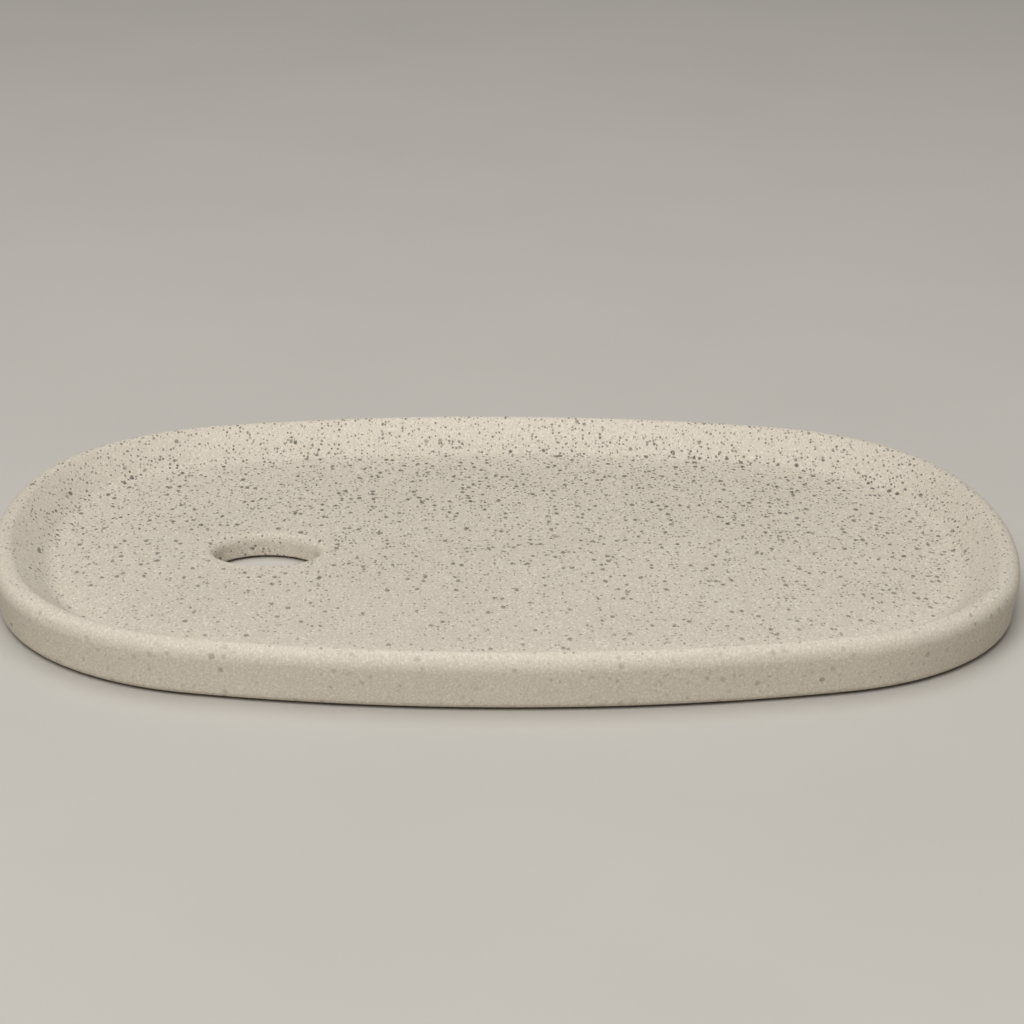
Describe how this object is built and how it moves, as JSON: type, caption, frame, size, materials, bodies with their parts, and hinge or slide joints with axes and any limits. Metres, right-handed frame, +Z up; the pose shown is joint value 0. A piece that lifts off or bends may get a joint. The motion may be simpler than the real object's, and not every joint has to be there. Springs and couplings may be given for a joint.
{
  "type": "soap dish",
  "caption": "Shallow oval soap dish in speckled cream ceramic with a rolled lip and an oval drain hole, standing on anti-slip pads.",
  "frame": {"origin": "on the surface that the dish stands on, under the middle of the oval", "axes": "+Z up, X along the oval with the drain hole towards -X, -Y towards the front"},
  "size_m": [0.16, 0.114, 0.0086],
  "materials": {
    "speckled_ceramic": "matte cream ceramic with fine dark specks and small pits",
    "pad": "matt pale grey silicone"
  },
  "bodies": {
    "root": {"dish": "speckled_ceramic", "front_left_pad": "pad", "front_right_pad": "pad", "rear_left_pad": "pad", "rear_right_pad": "pad"}
  },
  "joints": []
}
